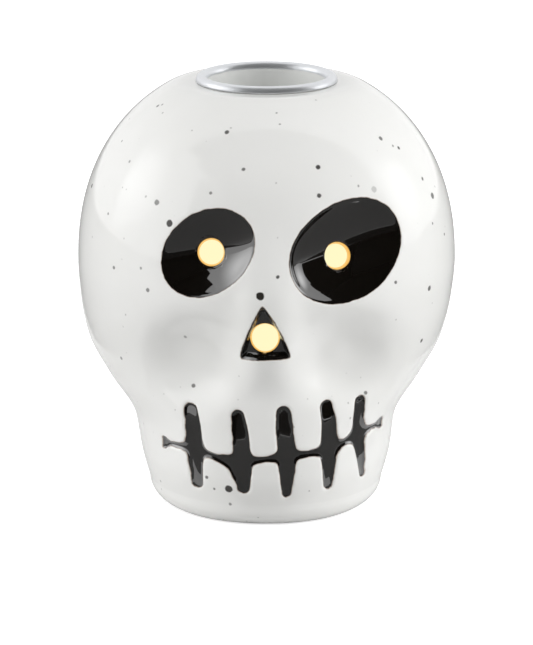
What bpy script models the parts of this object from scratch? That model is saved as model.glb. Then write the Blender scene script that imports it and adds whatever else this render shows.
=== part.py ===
# Skull taper holder: a slip-cast ceramic skull with a pressed metal candle cup in its crown, and a battery light
# in its base that shines out of the eyes and the nose. Metres, +Z up. The face looks along -Y and the foot
# stands on Z = 0.

from math import asin, cos, exp, log, pi, radians, sin, sqrt, tan

import bmesh
import bpy
from mathutils import Matrix, Vector

GAP = 0.0003  # between pieces that touch

# Rings of the skull up to its widest one: height, half width, reach to the front, reach to the back, squareness
# and sideways lean
FOOT_ROUND = 0.0042
SKULL_RINGS = {
    "foot": (FOOT_ROUND, 0.0220, 0.0301, 0.0240, 2.15, -0.0002),
    "chin": (0.0100, 0.0235, 0.0315, 0.0262, 2.25, -0.0002),
    "jaw": (0.0165, 0.0247, 0.0315, 0.0285, 2.2, -0.0003),
    "cheek": (0.0243, 0.0297, 0.0313, 0.0314, 2.1, -0.0004),
    "cheekbone": (0.0310, 0.0334, 0.0328, 0.0336, 2.0, -0.0003),
    "orbit": (0.0385, 0.0351, 0.0348, 0.0360, 2.0, -0.0001),
    "brow": (0.0455, 0.0357, 0.0359, 0.0370, 2.0, 0.0),
}
DOME_RISE = 0.03745  # from the widest ring to the top of the full dome
DOME_FULLNESS = 2.2
CROWN_CUT = 0.00365  # how far below that top the crown is flat
CROWN_SOFTNESS = 0.00035
WALL = 0.0035
FLOOR = 0.0045

# Soft hollows and swellings of the face: sideways place, height, half width, half height, lift
FACE_FORMS = {
    "left cheek hollow": (-0.0134, 0.0320, 0.0088, 0.0078, -0.0036),
    "right cheek hollow": (0.0150, 0.0323, 0.0088, 0.0078, -0.0036),
    "left eye surround": (-0.0113, 0.0530, 0.0150, 0.0130, -0.0009),
    "right eye surround": (0.0150, 0.0526, 0.0170, 0.0145, -0.0010),
    "nose bridge": (0.0004, 0.0410, 0.0056, 0.0120, 0.0018),
    "nose column": (0.0008, 0.0295, 0.0095, 0.0095, 0.0009),
    "tooth row": (0.0012, 0.0100, 0.0190, 0.0130, 0.0018),
}
FORM_SHARPNESS = 1.6  # 1 is a bell, and a larger value has a flatter middle and a steeper flank

# Eye sockets: ellipses as seen from the front, sunk into the face
SOCKETS = {
    "left": {"x": -0.0113, "z": 0.0530, "long": 0.0096, "short": 0.0072, "turn": radians(41), "depth": 0.0038},
    "right": {"x": 0.0150, "z": 0.0526, "long": 0.0109, "short": 0.0091, "turn": radians(29), "depth": 0.0043},
}

# Light holes: where each opens, seen from the front, its width, and how far its way out turns sideways and up
LIGHT_HOLES = {
    "left": {"x": -0.0103, "z": 0.0530, "width": 0.0054, "sideways": 0.0, "up": radians(12)},
    "right": {"x": 0.0134, "z": 0.0517, "width": 0.0054, "sideways": radians(21), "up": radians(12)},
    "nose": {"x": -0.0003, "z": 0.0372, "width": 0.0054, "sideways": 0.0, "up": radians(8)},
}

# Nose: a triangle with rounded corners, narrower at its floor
NOSE_CORNERS = ((-0.0050, 0.0328), (0.00455, 0.0332), (-0.0008, 0.0439))
NOSE_CORNER_ROUND = 0.0007
NOSE_DEPTH = 0.0017
NOSE_FLOOR_SHARE = 0.86

# Mouth: five upright strokes crossed by one line, cut into the glaze. Points: sideways place, height, width
GROOVE_DEPTH = 0.00055
TOOTH_STROKES = (
    (
        (-0.0143, 0.0220, 0.0019),
        (-0.0139, 0.0191, 0.0024),
        (-0.0136, 0.0158, 0.0026),
        (-0.0134, 0.0120, 0.0024),
        (-0.0131, 0.0079, 0.0018),
    ),
    (
        (-0.0055, 0.0218, 0.0020),
        (-0.0049, 0.0182, 0.0028),
        (-0.0046, 0.0143, 0.0030),
        (-0.0044, 0.0108, 0.0029),
        (-0.0043, 0.0081, 0.0023),
    ),
    (
        (0.0032, 0.0223, 0.0028),
        (0.0034, 0.0192, 0.0034),
        (0.0038, 0.0154, 0.0029),
        (0.0039, 0.0113, 0.0027),
        (0.0038, 0.0070, 0.0017),
    ),
    (
        (0.0113, 0.0229, 0.0024),
        (0.0118, 0.0199, 0.0026),
        (0.0119, 0.0155, 0.0030),
        (0.0118, 0.0112, 0.0025),
        (0.0116, 0.0079, 0.0014),
    ),
    (
        (0.0177, 0.0230, 0.0017),
        (0.0174, 0.0197, 0.0021),
        (0.0174, 0.0163, 0.0022),
        (0.0179, 0.0120, 0.0016),
        (0.0181, 0.0082, 0.0007),
    ),
)
MOUTH_LINE = (
    (-0.0196, 0.0144, 0.0020),
    (-0.0179, 0.0149, 0.0008),
    (-0.0136, 0.0147, 0.0012),
    (-0.0091, 0.0135, 0.0008),
    (-0.0045, 0.0132, 0.0014),
    (-0.0006, 0.0136, 0.0009),
    (0.0038, 0.0142, 0.0014),
    (0.0076, 0.0144, 0.0010),
    (0.0118, 0.0148, 0.0014),
    (0.0149, 0.0157, 0.0010),
    (0.0174, 0.0166, 0.0016),
    (0.0199, 0.0170, 0.0008),
    (0.0219, 0.0171, 0.0018),
)
MOUTH_CUT_REACH = (1.2, 0.3)  # front and back of the strokes' cutter, as shares of the brow's front

# Candle cup
CANDLE_BORE = 0.0224
CUP_SHEET = 0.00035
CUP_DEPTH = 0.0220
CUP_CORNER = 0.0012
CUP_LIP_WIDTH = 0.0022
CUP_LIP_HEIGHT = 0.00126

# Light unit in the base
HOUSING_BORE = 0.0280
HOUSING_WALL = 0.0011
HOUSING_TOP = 0.0133
FLANGE_OVERHANG = 0.0011
FLANGE_THICKNESS = 0.0010
UNIT_INSET = 0.0005  # from the foot plane up to the unit's underside
PLATE_THICKNESS = 0.0020
CELL_WIDTH = 0.0200
CELL_THICKNESS = 0.0032
CELL_CAP_WIDTH = 0.0177
CELL_CAP_HEIGHT = 0.0006
CELL_PLACE = Vector((0.0, 0.0018))
CELL_CLEARANCE = 0.0003
CONTACT_THICKNESS = 0.0003
CONTACT_LENGTH = 0.0150
CONTACT_WIDTH = 0.0036
DOOR_THICKNESS = 0.0010
DOOR_LEDGE = 0.0007
DOOR_EAR_RADIUS = 0.0019
DOOR_SCREW_PLACE = Vector((0.0082, -0.0073))
PLATE_SCREW_PLACES = {"left": Vector((-0.0113, -0.0040)), "right": Vector((0.0113, -0.0040))}
POST_RADIUS = 0.0015
SCREW_SHANK_WIDTH = 0.0014
SCREW_HEAD_WIDTH = 0.0022
SCREW_HEAD_HEIGHT = 0.0008
SCREW_LENGTH = 0.0060
SCREW_SLOT = 0.0004
SLOT_SHARE = 0.7  # of the head's width
BOARD_THICKNESS = 0.0010
BOARD_RIB_OFFSET = 0.0030  # of the ribs that hold the board down, backwards from the middle
LAMP_WIDTH = 0.0050
LAMP_RIM = 0.0003
LAMP_RIM_HEIGHT = 0.0010
LAMP_HEIGHT = 0.0086
RESISTOR_SIZE = (0.0032, 0.0016, 0.0006)
RESISTOR_PLACE = Vector((0.0070, 0.0020))
SWITCH_PLACE = Vector((-0.0010, -0.0115))
SWITCH_BODY_SIZE = (0.0070, 0.0030, 0.0030)
SWITCH_TRAVEL = 0.0020
STEM_SIZE = (0.0016, 0.0014)
STEM_REACH = 0.0012  # of the stem inside the switch
KNOB_SIZE = (0.0028, 0.0024, 0.0007)
KNOB_RIDGES = 3
RIDGE_HEIGHT = 0.0002

# Fineness
SKULL_COLUMNS = 56
FACE_CROWDING = 0.35  # how much closer the columns lie on the face than on the back
FOOT_ROWS = 4
ROW_STEP = 0.0023
DOME_ROWS = 12
CAVITY_COLUMNS = 32
CAVITY_ROW_STEP = 0.0042
CAVITY_DOME_ROWS = 8
ROUND_SEGMENTS = 36
SMALL_SEGMENTS = 16
SCREW_SEGMENTS = 12


def clear_scene():
    for obj in list(bpy.data.objects):
        bpy.data.objects.remove(obj)


def make_material(name, colour, roughness, metallic=0.0, coat=0.0):
    material = bpy.data.materials.new(name)
    material.use_nodes = True
    shader = material.node_tree.nodes["Principled BSDF"]
    shader.inputs["Base Color"].default_value = (*colour, 1.0)
    shader.inputs["Roughness"].default_value = roughness
    shader.inputs["Metallic"].default_value = metallic
    shader.inputs["Coat Weight"].default_value = coat
    material.diffuse_color = (*colour, 1.0)
    return material


def add_piece(name, bm, *materials):
    bmesh.ops.recalc_face_normals(bm, faces=bm.faces)
    mesh = bpy.data.meshes.new(name)
    bm.to_mesh(mesh)
    bm.free()
    for material in materials:
        mesh.materials.append(material)
    mesh.shade_smooth()
    mesh.set_sharp_from_angle(angle=radians(30))
    piece = bpy.data.objects.new(name, mesh)
    bpy.context.collection.objects.link(piece)
    return piece


def add_cutter(name, bm, *materials):
    cutter = add_piece(name, bm, *materials)
    cutter.hide_render = True
    cutter.display_type = "WIRE"
    return cutter


def combine(piece, other, operation="DIFFERENCE", crosses_itself=False):
    modifier = piece.modifiers.new(other.name, "BOOLEAN")
    modifier.operation = operation
    modifier.object = other
    modifier.material_mode = "TRANSFER"
    modifier.use_self = crosses_itself


def revolved(profile, segments, centre=(0.0, 0.0)):
    # Turns points (radius, height) round an upright axis. A point at radius 0 closes the shape there.
    bm = bmesh.new()
    points = [bm.verts.new((radius, 0.0, height)) for radius, height in profile]
    closed = all(radius > 0.0 for radius, _ in profile)
    pairs = list(zip(points, points[1:])) + ([(points[-1], points[0])] if closed else [])
    edges = [bm.edges.new(pair) for pair in pairs]
    bmesh.ops.spin(
        bm, geom=points + edges, cent=(0, 0, 0), axis=(0, 0, 1), angle=2 * pi, steps=segments, use_merge=True
    )
    bmesh.ops.remove_doubles(bm, verts=bm.verts, dist=1e-6)
    bmesh.ops.translate(bm, verts=bm.verts, vec=(*centre, 0.0))
    return bm


def turned_disc(radius, bottom, top, segments=ROUND_SEGMENTS, centre=(0.0, 0.0)):
    return revolved(((0.0, bottom), (radius, bottom), (radius, top), (0.0, top)), segments, centre)


def box(size, centre):
    bm = bmesh.new()
    bmesh.ops.create_cube(bm, size=1.0, matrix=Matrix.Translation(centre) @ Matrix.Diagonal((*size, 1.0)))
    return bm


def block(width, depth, bottom, top, place):
    return box((width, depth, top - bottom), (place.x, place.y, (bottom + top) / 2))


def joined(*meshes):
    # One mesh that holds several closed shapes.
    whole = bmesh.new()
    for bm in meshes:
        part = bpy.data.meshes.new("part")
        bm.to_mesh(part)
        bm.free()
        whole.from_mesh(part)
        bpy.data.meshes.remove(part)
    return whole


# The skull's surface

def ring_slopes(heights, values):
    # Slopes of a smooth curve through the rings that never swings past them. It ends upright at the widest ring.
    steps = [(b - a) / (q - p) for a, b, p, q in zip(values, values[1:], heights, heights[1:])]
    slopes = [steps[0]]
    for before, after in zip(steps, steps[1:]):
        slopes.append(2 * before * after / (before + after) if before * after > 0 else 0.0)
    return slopes + [0.0]


RING_HEIGHTS = [ring[0] for ring in SKULL_RINGS.values()]
CROWN_HEIGHT = RING_HEIGHTS[-1] + DOME_RISE - CROWN_CUT
RING_CURVES = []
for column in range(1, 6):
    ring_values = [ring[column] for ring in SKULL_RINGS.values()]
    RING_CURVES.append((ring_values, ring_slopes(RING_HEIGHTS, ring_values)))


def ring_at(height):
    # A ring's values, past its height, at any height. They stay the same over the dome.
    height = min(max(height, RING_HEIGHTS[0]), RING_HEIGHTS[-1])
    i = max(k for k in range(len(RING_HEIGHTS) - 1) if RING_HEIGHTS[k] <= height)
    span = RING_HEIGHTS[i + 1] - RING_HEIGHTS[i]
    t = (height - RING_HEIGHTS[i]) / span
    start, start_slope = (1 + 2 * t) * (1 - t) ** 2, t * (1 - t) ** 2 * span
    end, end_slope = t * t * (3 - 2 * t), t * t * (t - 1) * span
    return [
        start * values[i] + start_slope * slopes[i] + end * values[i + 1] + end_slope * slopes[i + 1]
        for values, slopes in RING_CURVES
    ]


def dome_share(height):
    rise = max(height - RING_HEIGHTS[-1], 0.0) / DOME_RISE
    return max(1 - rise**DOME_FULLNESS, 0.0) ** (1 / DOME_FULLNESS)


def skull_point(height, angle):
    # Angle 0 is the middle of the face and a right angle is the viewer's right side.
    half_width, front, back, squareness, lean = ring_at(height)
    share = dome_share(height)
    below = max(FOOT_ROUND - height, 0.0)
    inset = FOOT_ROUND - sqrt(max(FOOT_ROUND**2 - below**2, 0.0))
    reach = front if cos(angle) > 0 else back
    across, along = abs(sin(angle)) / half_width, abs(cos(angle)) / reach
    radius = share * (across**squareness + along**squareness) ** (-1 / squareness) - inset
    x, y = radius * sin(angle), -radius * cos(angle)
    lift = 0.0
    if cos(angle) > 0:
        for place, level, half_wide, half_high, amount in FACE_FORMS.values():
            away = ((x - place) / half_wide) ** 2 + ((height - level) / half_high) ** 2
            lift += amount * exp(-(away**FORM_SHARPNESS))
        lift *= min(1.0, 2.5 * cos(angle))
    flattened = height
    if height > RING_HEIGHTS[-1]:
        flattened = -CROWN_SOFTNESS * log(exp(-height / CROWN_SOFTNESS) + exp(-CROWN_HEIGHT / CROWN_SOFTNESS))
    return Vector((x + lift * sin(angle) + lean, y - lift * cos(angle), flattened))


def skull_normal(height, angle):
    step = 0.0002
    low = max(height - step, 0.0)
    upward = skull_point(height + step, angle) - skull_point(low, angle)
    sideways = skull_point(height, angle + 0.01) - skull_point(height, angle - 0.01)
    return sideways.cross(upward).normalized()


def face_point(x, height):
    # The point of the face at a sideways place and a height, found by halving the angle's range.
    low, high = -pi / 2, pi / 2
    for _ in range(30):
        middle = (low + high) / 2
        if skull_point(height, middle).x < x:
            low = middle
        else:
            high = middle
    return skull_point(height, low), skull_normal(height, low)


def crown_row_height(radius):
    # The height on the full dome where its half width has come down to a radius.
    share = radius / SKULL_RINGS["brow"][1]
    return RING_HEIGHTS[-1] + DOME_RISE * (1 - share**DOME_FULLNESS) ** (1 / DOME_FULLNESS)


def row_heights(bottom, top_radius, step, dome_rows):
    # Even rows up to the widest ring, then rows at even angles over the dome.
    rows = max(2, round((RING_HEIGHTS[-1] - bottom) / step))
    heights = [bottom + (RING_HEIGHTS[-1] - bottom) * i / rows for i in range(rows)]
    last = (crown_row_height(top_radius) - RING_HEIGHTS[-1]) / DOME_RISE
    rises = [DOME_RISE * sin(asin(last) * i / dome_rows) for i in range(dome_rows + 1)]
    return heights + [RING_HEIGHTS[-1] + rise for rise in rises]


def skull_body(heights, columns, depth=0.0, floor=None):
    # The closed body inside the skull's surface, moved inwards by a depth.
    turns = [2 * pi * i / columns - pi for i in range(columns)]
    angles = [turn - FACE_CROWDING * sin(turn) for turn in turns]
    bm = bmesh.new()
    rings = []
    for height in heights:
        ring = []
        for angle in angles:
            point = skull_point(height, angle)
            if depth:
                point -= depth * skull_normal(height, angle)
            if floor is not None and height == heights[0]:
                point.z = floor
            ring.append(bm.verts.new(point))
        rings.append(ring)
    for lower, upper in zip(rings, rings[1:]):
        for i in range(columns):
            k = (i + 1) % columns
            bm.faces.new((lower[i], lower[k], upper[k], upper[i]))
    bm.faces.new(rings[0])
    bm.faces.new(rings[-1])
    return bm


# Cutters of the face

def socket_mesh(socket, grow=0.0):
    # A stretched ball whose section with the face is the socket's ellipse.
    point, normal = face_point(socket["x"], socket["z"])
    turn = socket["turn"]
    columns = []
    for length, direction in (
        (socket["long"], Vector((cos(turn), 0.0, sin(turn)))),
        (socket["short"], Vector((-sin(turn), 0.0, cos(turn)))),
    ):
        depth = -(normal.x * direction.x + normal.z * direction.z) / normal.y
        along_face = Vector((direction.x, depth, direction.z))
        reach = along_face * length / sqrt(0.75)
        columns.append(reach * (1 + grow / reach.length))
    columns.append(normal * (2 * socket["depth"] + grow))
    centre = point + normal * socket["depth"]
    matrix = Matrix.Translation(centre) @ Matrix(columns).transposed().to_4x4()
    bm = bmesh.new()
    bmesh.ops.create_uvsphere(bm, u_segments=28, v_segments=14, radius=1.0, matrix=matrix)
    return bm


def light_hole_mesh(name):
    hole = LIGHT_HOLES[name]
    if name in SOCKETS:
        point, normal = face_point(SOCKETS[name]["x"], SOCKETS[name]["z"])
        bottom = point - normal * SOCKETS[name]["depth"]
    else:
        point, normal = face_point(hole["x"], hole["z"])
        bottom = point - normal * NOSE_DEPTH
    centre = Vector((hole["x"], bottom.y, hole["z"]))
    aside, up = hole["sideways"], hole["up"]
    out = Vector((sin(aside) * cos(up), -cos(aside) * cos(up), sin(up)))
    bm = bmesh.new()
    bmesh.ops.create_cone(
        bm, cap_ends=True, segments=24, radius1=hole["width"] / 2, radius2=hole["width"] / 2, depth=5 * WALL
    )
    turn = out.to_track_quat("Z", "Y").to_matrix().to_4x4()
    bmesh.ops.transform(bm, matrix=Matrix.Translation(centre) @ turn, verts=bm.verts)
    return bm


def rounded_outline(corners, radius, steps=3):
    # Points of a polygon, given anticlockwise, with an arc in place of each corner.
    corners = [Vector(corner) for corner in corners]
    outline = []
    for before, corner, after in zip(corners[-1:] + corners, corners, corners[1:] + corners[:1]):
        back, ahead = (before - corner).normalized(), (after - corner).normalized()
        half = back.angle(ahead) / 2
        middle = corner + (back + ahead).normalized() * radius / sin(half)
        start = corner + back * radius / tan(half)
        first = start - middle
        sweep = pi - 2 * half
        for i in range(steps + 1):
            outline.append(middle + Matrix.Rotation(sweep * i / steps, 2) @ first)
    return outline


def nose_mesh(depth, grow=0.0):
    middle_x = sum(corner[0] for corner in NOSE_CORNERS) / 3
    middle_z = sum(corner[1] for corner in NOSE_CORNERS) / 3
    point, normal = face_point(middle_x, middle_z)
    centre = Vector((middle_x, middle_z))
    outline = rounded_outline(NOSE_CORNERS, NOSE_CORNER_ROUND)
    bm = bmesh.new()
    rings = []
    for level, share in ((depth, 1 + (1 - NOSE_FLOOR_SHARE)), (-depth, NOSE_FLOOR_SHARE)):
        ring = []
        for corner in outline:
            spot = centre + (corner - centre) * share
            spot += (corner - centre).normalized() * grow
            on_face = point + Vector((spot.x - centre.x, 0.0, spot.y - centre.y))
            on_face.y -= (normal.x * (spot.x - centre.x) + normal.z * (spot.y - centre.y)) / normal.y
            ring.append(bm.verts.new(on_face + normal * level))
        rings.append(ring)
    for i in range(len(outline)):
        k = (i + 1) % len(outline)
        bm.faces.new((rings[0][i], rings[0][k], rings[1][k], rings[1][i]))
    bm.faces.new(rings[0])
    bm.faces.new(rings[1])
    return bm


def ribbon_mesh(line, cap_steps=3):
    # An upright slab through the face whose outline follows a line of points, each with a width, with round ends.
    points = [Vector((x, z)) for x, z, _ in line]
    halves = [width / 2 for _, _, width in line]
    headings = []
    for i in range(len(points)):
        headings.append((points[min(i + 1, len(points) - 1)] - points[max(i - 1, 0)]).normalized())
    right, left = [], []
    for point, half, heading in zip(points, halves, headings):
        aside = Vector((heading.y, -heading.x)) * half
        right.append(point + aside)
        left.append(point - aside)
    end_cap, start_cap = [], []
    for i in range(1, cap_steps):
        turn = Matrix.Rotation(pi * i / cap_steps, 2)
        end_cap.append(points[-1] + turn @ (right[-1] - points[-1]))
        start_cap.append(points[0] + turn @ (left[0] - points[0]))
    outline = right + end_cap + left[::-1] + start_cap
    bm = bmesh.new()
    near, far = (-share * SKULL_RINGS["brow"][2] for share in MOUTH_CUT_REACH)
    front = [bm.verts.new((spot.x, near, spot.y)) for spot in outline]
    face = bm.faces.new(front)
    moved = bmesh.ops.extrude_face_region(bm, geom=[face])["geom"]
    corners = [item for item in moved if isinstance(item, bmesh.types.BMVert)]
    bmesh.ops.translate(bm, verts=corners, vec=(0.0, far - near, 0.0))
    return bm


# Levels of the light unit, from the foot up
PLATE_TOP = UNIT_INSET + PLATE_THICKNESS
FLANGE_TOP = UNIT_INSET + FLANGE_THICKNESS
RECESS_DEPTH = FLANGE_TOP + GAP
DOOR_TOP = UNIT_INSET + DOOR_THICKNESS
LOWER_CONTACT_BOTTOM = DOOR_TOP + GAP
CELL_BOTTOM = LOWER_CONTACT_BOTTOM + CONTACT_THICKNESS + GAP
UPPER_CONTACT_BOTTOM = CELL_BOTTOM + CELL_THICKNESS + GAP
BOARD_BOTTOM = UPPER_CONTACT_BOTTOM + CONTACT_THICKNESS + GAP
BOARD_TOP = BOARD_BOTTOM + BOARD_THICKNESS
SWITCH_TOP = BOARD_BOTTOM - GAP
SWITCH_BOTTOM = SWITCH_TOP - SWITCH_BODY_SIZE[2]

# Widths that follow from what fits in what
HOUSING_RADIUS = HOUSING_BORE / 2 + HOUSING_WALL
OPENING_RADIUS = HOUSING_RADIUS + GAP
FLANGE_RADIUS = OPENING_RADIUS + FLANGE_OVERHANG
PLATE_RADIUS = HOUSING_BORE / 2 - GAP
CELL_WELL_RADIUS = CELL_WIDTH / 2 + CELL_CLEARANCE
DOOR_RADIUS = CELL_WELL_RADIUS + DOOR_LEDGE
CUP_RADIUS = CANDLE_BORE / 2 + CUP_SHEET
LIP_RADIUS = CANDLE_BORE / 2 + CUP_LIP_WIDTH


def skull_shell(white_glaze, black_glaze, bare_clay):
    # Slip-cast shell: an even wall, a floor with a foot, dents for the eyes and the nose, and cut strokes.
    foot_rows = [FOOT_ROUND * (1 - cos(0.5 * pi * i / FOOT_ROWS)) for i in range(FOOT_ROWS)]
    rows = foot_rows + row_heights(FOOT_ROUND, CUP_RADIUS + GAP, ROW_STEP, DOME_ROWS)
    shell = add_piece("skull_shell", skull_body(rows, SKULL_COLUMNS), white_glaze)

    for side, socket in SOCKETS.items():
        combine(shell, add_cutter(f"{side}_socket_cutter", socket_mesh(socket), black_glaze))
    combine(shell, add_cutter("nose_cutter", nose_mesh(NOSE_DEPTH), black_glaze))

    strokes = joined(*(ribbon_mesh(line) for line in (*TOOTH_STROKES, MOUTH_LINE)))
    mouth = add_cutter("mouth_cutter", strokes, black_glaze)
    core_body = skull_body(rows, SKULL_COLUMNS, GROOVE_DEPTH)
    core = add_cutter("mouth_floor_guide", core_body, black_glaze)
    combine(mouth, core, crosses_itself=True)
    combine(shell, mouth)

    cavity_rows = row_heights(FLOOR, CUP_RADIUS, CAVITY_ROW_STEP, CAVITY_DOME_ROWS)
    cavity_body = skull_body(cavity_rows, CAVITY_COLUMNS, WALL, FLOOR)
    cavity = add_cutter("cavity_cutter", cavity_body, bare_clay)
    for side in SOCKETS:
        combine(cavity, add_cutter(f"{side}_socket_wall", socket_mesh(SOCKETS[side], WALL), bare_clay))
    combine(cavity, add_cutter("nose_wall", nose_mesh(NOSE_DEPTH + WALL, WALL), bare_clay))
    combine(shell, cavity)

    for name in LIGHT_HOLES:
        combine(shell, add_cutter(f"{name}_light_hole_cutter", light_hole_mesh(name), bare_clay))

    crown = turned_disc(CUP_RADIUS + GAP, CROWN_HEIGHT - 3 * WALL, CROWN_HEIGHT + WALL)
    combine(shell, add_cutter("crown_hole_cutter", crown, bare_clay))
    opening = turned_disc(OPENING_RADIUS, -FLOOR, 2 * FLOOR)
    combine(shell, add_cutter("base_opening_cutter", opening, bare_clay))
    recess = turned_disc(FLANGE_RADIUS + GAP, -FLOOR, RECESS_DEPTH)
    combine(shell, add_cutter("base_recess_cutter", recess, bare_clay))
    return shell


def candle_cup(metal):
    # Pressed sheet: a straight cup with a round corner at its floor and a lip rolled over to the crown.
    bottom = CROWN_HEIGHT + GAP - CUP_DEPTH
    seat = CROWN_HEIGHT + GAP
    bore = CANDLE_BORE / 2
    lip_middle = bore + CUP_LIP_WIDTH / 2
    arc = 6

    def lip_arc(inset):
        return [
            (
                lip_middle + (CUP_LIP_WIDTH / 2 - inset) * cos(pi * i / arc),
                seat + (CUP_LIP_HEIGHT - inset) * sin(pi * i / arc),
            )
            for i in range(arc + 1)
        ]

    def corner_arc(radius, height, corner):
        return [
            (
                radius - corner + corner * cos(pi / 2 * i / 3),
                height + corner - corner * sin(pi / 2 * i / 3),
            )
            for i in range(4)
        ]

    inside = corner_arc(bore, bottom + CUP_SHEET, CUP_CORNER)
    outside = corner_arc(CUP_RADIUS, bottom, CUP_CORNER + CUP_SHEET)
    profile = (
        [(0.0, bottom)]
        + outside[::-1]
        + lip_arc(CUP_SHEET)[::-1]
        + lip_arc(0.0)
        + inside
        + [(0.0, bottom + CUP_SHEET)]
    )
    return add_piece("candle_cup", revolved(profile, ROUND_SEGMENTS), metal)


def led_housing(plastic):
    # Moulded cup, open downwards, with a flange at its mouth, posts for the plate screws and a hole for the lamp.
    inner = HOUSING_BORE / 2
    ceiling = HOUSING_TOP - HOUSING_WALL
    lamp_hole = LAMP_WIDTH / 2 + GAP
    profile = (
        (FLANGE_RADIUS, UNIT_INSET),
        (FLANGE_RADIUS, FLANGE_TOP),
        (HOUSING_RADIUS, FLANGE_TOP),
        (HOUSING_RADIUS, HOUSING_TOP - HOUSING_WALL),
        (HOUSING_RADIUS - HOUSING_WALL, HOUSING_TOP),
        (lamp_hole, HOUSING_TOP),
        (lamp_hole, ceiling),
        (inner, ceiling),
        (inner, UNIT_INSET),
    )
    housing = add_piece("led_housing", revolved(profile, ROUND_SEGMENTS), plastic)
    for side, place in PLATE_SCREW_PLACES.items():
        post = turned_disc(POST_RADIUS, PLATE_TOP + GAP, ceiling + HOUSING_WALL / 2, SMALL_SEGMENTS, place)
        combine(housing, add_cutter(f"{side}_post", post, plastic), "UNION")
        pilot = turned_disc(
            SCREW_SHANK_WIDTH / 2 + GAP,
            0.0,
            UNIT_INSET + SCREW_LENGTH + GAP,
            SCREW_SEGMENTS,
            place,
        )
        combine(housing, add_cutter(f"{side}_post_pilot", pilot, plastic))
    rib_bottom, rib_top = BOARD_TOP + GAP, ceiling + HOUSING_WALL / 2
    for side in (-1, 1):
        rib = box(
            (HOUSING_WALL, 4 * HOUSING_WALL, rib_top - rib_bottom),
            (side * (inner - 3 * HOUSING_WALL), BOARD_RIB_OFFSET, (rib_top + rib_bottom) / 2),
        )
        combine(housing, add_cutter(f"board_rib_{side}", rib, plastic), "UNION")
    return housing


def base_plate(plastic):
    # Round plate with the battery well, a sunk seat for the door, the switch slot and three screw holes.
    plate = add_piece("base_plate", turned_disc(PLATE_RADIUS, UNIT_INSET, PLATE_TOP), plastic)
    well = turned_disc(CELL_WELL_RADIUS, 0.0, 2 * PLATE_TOP, centre=CELL_PLACE)
    combine(plate, add_cutter("battery_well_cutter", well, plastic))
    seat_radius = DOOR_RADIUS + GAP
    seat = turned_disc(seat_radius, 0.0, DOOR_TOP + GAP, centre=CELL_PLACE)
    combine(plate, add_cutter("door_seat_cutter", seat, plastic))
    ear = ear_mesh(DOOR_EAR_RADIUS + GAP, 0.0, DOOR_TOP + GAP)
    combine(plate, add_cutter("door_ear_cutter", ear, plastic))
    for side, place in PLATE_SCREW_PLACES.items():
        hole = turned_disc(SCREW_SHANK_WIDTH / 2 + GAP, 0.0, 2 * PLATE_TOP, SCREW_SEGMENTS, place)
        combine(plate, add_cutter(f"{side}_plate_hole", hole, plastic))
        sink_top = UNIT_INSET + SCREW_HEAD_HEIGHT + GAP
        sink = turned_disc(SCREW_HEAD_WIDTH / 2 + GAP, 0.0, sink_top, SMALL_SEGMENTS, place)
        combine(plate, add_cutter(f"{side}_plate_sink", sink, plastic))
    hole = turned_disc(SCREW_SHANK_WIDTH / 2 + GAP, 0.0, 2 * PLATE_TOP, SCREW_SEGMENTS, DOOR_SCREW_PLACE)
    combine(plate, add_cutter("door_screw_hole", hole, plastic))
    run = SWITCH_PLACE + Vector((SWITCH_TRAVEL / 2, 0.0))
    pocket_top = UNIT_INSET + KNOB_SIZE[2] + GAP
    pocket = block(KNOB_SIZE[0] + SWITCH_TRAVEL + 2 * GAP, KNOB_SIZE[1] + 2 * GAP, 0.0, pocket_top, run)
    combine(plate, add_cutter("knob_pocket_cutter", pocket, plastic))
    slot = block(STEM_SIZE[0] + SWITCH_TRAVEL + 2 * GAP, STEM_SIZE[1] + 2 * GAP, 0.0, 2 * PLATE_TOP, run)
    combine(plate, add_cutter("stem_slot_cutter", slot, plastic))
    return plate


def ear_mesh(radius, bottom, top):
    # A tab from the middle of the door out to its screw, with a round end.
    reach = DOOR_SCREW_PLACE - CELL_PLACE
    aside = Vector((-reach.y, reach.x)).normalized() * radius
    outline = [CELL_PLACE + aside]
    outline += [DOOR_SCREW_PLACE + Matrix.Rotation(-pi * i / 8, 2) @ aside for i in range(9)]
    outline += [CELL_PLACE - aside]
    bm = bmesh.new()
    face = bm.faces.new([bm.verts.new((spot.x, spot.y, bottom)) for spot in outline])
    moved = bmesh.ops.extrude_face_region(bm, geom=[face])["geom"]
    corners = [item for item in moved if isinstance(item, bmesh.types.BMVert)]
    bmesh.ops.translate(bm, verts=corners, vec=(0.0, 0.0, top - bottom))
    return bm


def battery_door(plastic):
    door = add_piece("battery_door", turned_disc(DOOR_RADIUS, UNIT_INSET, DOOR_TOP, centre=CELL_PLACE), plastic)
    ear = ear_mesh(DOOR_EAR_RADIUS, UNIT_INSET, DOOR_TOP)
    combine(door, add_cutter("door_ear", ear, plastic), "UNION")
    hole = turned_disc(SCREW_SHANK_WIDTH / 2 + GAP, 0.0, 2 * DOOR_TOP, SCREW_SEGMENTS, DOOR_SCREW_PLACE)
    combine(door, add_cutter("door_hole", hole, plastic))
    sink_top = UNIT_INSET + DOOR_THICKNESS / 2
    sink = turned_disc(SCREW_HEAD_WIDTH / 2 + GAP, 0.0, sink_top, SMALL_SEGMENTS, DOOR_SCREW_PLACE)
    combine(door, add_cutter("door_sink", sink, plastic))
    return door


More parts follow.
